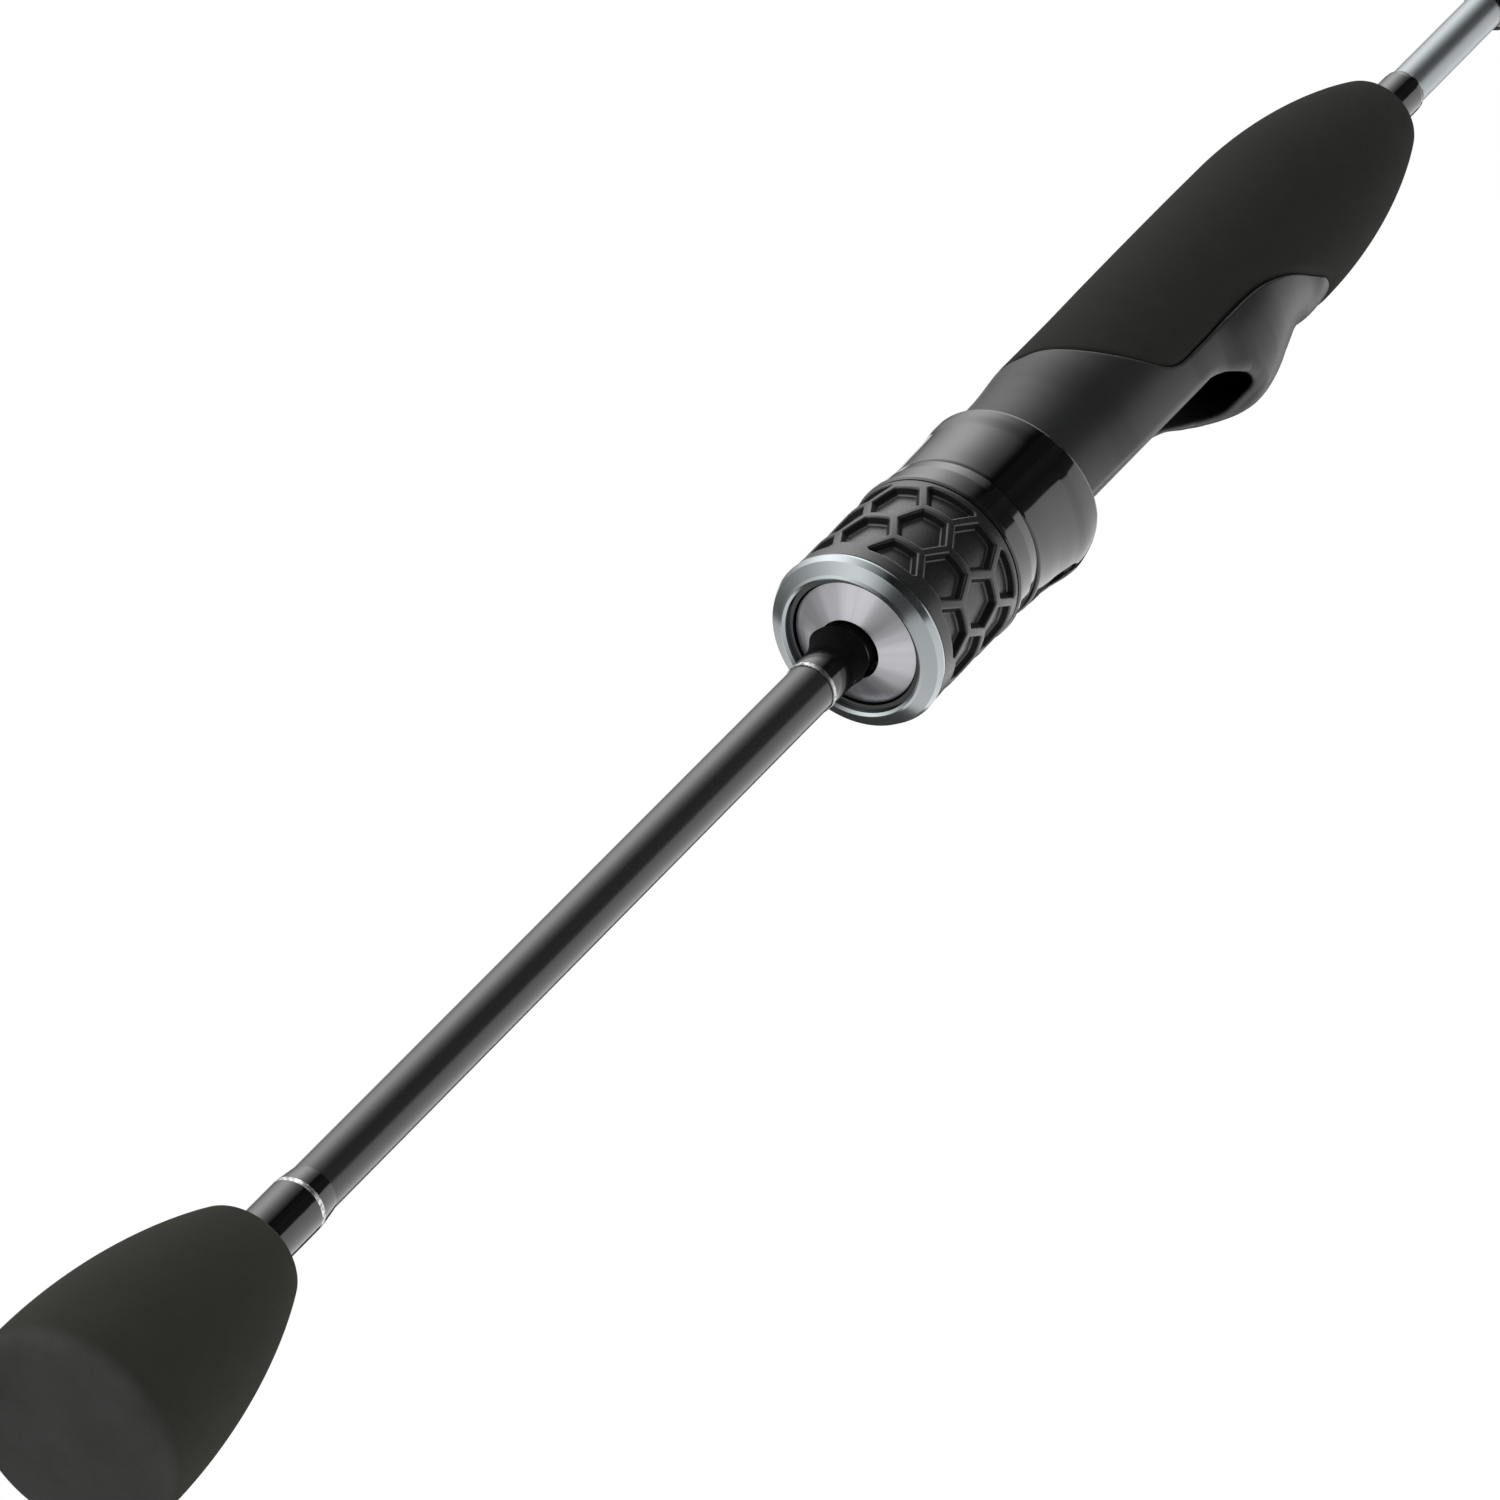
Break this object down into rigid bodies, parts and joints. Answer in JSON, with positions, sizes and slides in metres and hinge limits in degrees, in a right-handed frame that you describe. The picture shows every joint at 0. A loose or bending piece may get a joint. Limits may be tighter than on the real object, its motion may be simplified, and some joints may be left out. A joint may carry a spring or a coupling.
{
  "type": "spinning rod",
  "caption": "Two-piece ultralight spinning rod with split foam grips, a screw-lock reel seat, ring guides and a slim tapered blank.",
  "frame": {"origin": "the middle of the reel-foot face on the reel seat", "axes": "+X along the rod to its tip, +Z away from the reel, +Y across the rod"},
  "size_m": [1.8006, 0.0282, 0.0465],
  "materials": {
    "eva_foam": "matte closed-cell foam, near black",
    "black_blank": "gloss blank: black carbon behind the reel seat, silver paint ahead of the foregrip",
    "thread_wrap": "black thread under clear epoxy",
    "silver_trim": "silver metallic thread",
    "seat_core": "black filled nylon",
    "seat_body": "dark grey soft-touch",
    "hood_gloss": "gloss black",
    "end_plate": "satin spun aluminium",
    "arbor_foam": "stiff foam filler",
    "check_gloss": "gloss black",
    "keeper_wire": "bright stamped steel",
    "nut_core": "gloss black",
    "nut_rubber": "semi-gloss moulded rubber",
    "nut_ring": "polished gunmetal anodising",
    "silver_blank": "silver paint under clear coat",
    "guide_frame": "dark plated stainless steel",
    "guide_ring": "polished dark ceramic"
  },
  "bodies": {
    "butt_section": {"butt_grip": "eva_foam", "butt_blank": "black_blank", "rear_wrap": "thread_wrap", "rear_wrap_trim": "silver_trim", "seat_wrap": "thread_wrap", "seat_wrap_trim": "silver_trim", "seat_end_plate": "end_plate", "seat_tube": "seat_core", "reel_seat": "seat_body", "rear_arbor": "arbor_foam", "front_arbor": "arbor_foam", "foregrip": "eva_foam", "winding_check": "check_gloss", "keeper_wrap": "thread_wrap", "hook_keeper": "keeper_wire", "guide_1_frame": "guide_frame", "guide_1_ring": "guide_ring", "guide_1_wraps": "thread_wrap"},
    "hood": {"sliding_hood": "hood_gloss"},
    "nut": {"nut_core": "nut_core", "nut_grip": "nut_rubber", "nut_rear_ring": "nut_ring", "nut_front_ring": "nut_ring"},
    "tip_section": {"tip_blank": "silver_blank", "ferrule_wrap": "thread_wrap", "ferrule_trim": "silver_trim", "guide_2_frame": "guide_frame", "guide_2_ring": "guide_ring", "guide_2_wrap": "thread_wrap", "guide_3_frame": "guide_frame", "guide_3_ring": "guide_ring", "guide_3_wrap": "thread_wrap", "guide_4_frame": "guide_frame", "guide_4_ring": "guide_ring", "guide_4_wrap": "thread_wrap", "guide_5_frame": "guide_frame", "guide_5_ring": "guide_ring", "guide_5_wrap": "thread_wrap", "guide_6_frame": "guide_frame", "guide_6_ring": "guide_ring", "guide_6_wrap": "thread_wrap", "guide_7_frame": "guide_frame", "guide_7_ring": "guide_ring", "guide_7_wrap": "thread_wrap", "tip_top_frame": "guide_frame", "tip_top_ring": "guide_ring", "tip_top_wrap": "thread_wrap"}
  },
  "joints": [
    {"name": "hood_slide", "type": "slide", "parent": "butt_section", "child": "hood", "axis": [1, 0, 0], "range_m": [0, 0.01]},
    {"name": "nut_turn", "type": "hinge", "parent": "hood", "child": "nut", "pos_m": [0, 0, 0.0087], "axis": [1, 0, 0], "range_deg": [0, 1800]},
    {"name": "tip_section_pull", "type": "slide", "parent": "butt_section", "child": "tip_section", "axis": [1, 0, 0], "range_m": [0, 0.08]}
  ],
  "couplings": [
    {"joint": "nut_turn", "follows": "hood_slide", "rad_per_m": 3141.5}
  ]
}
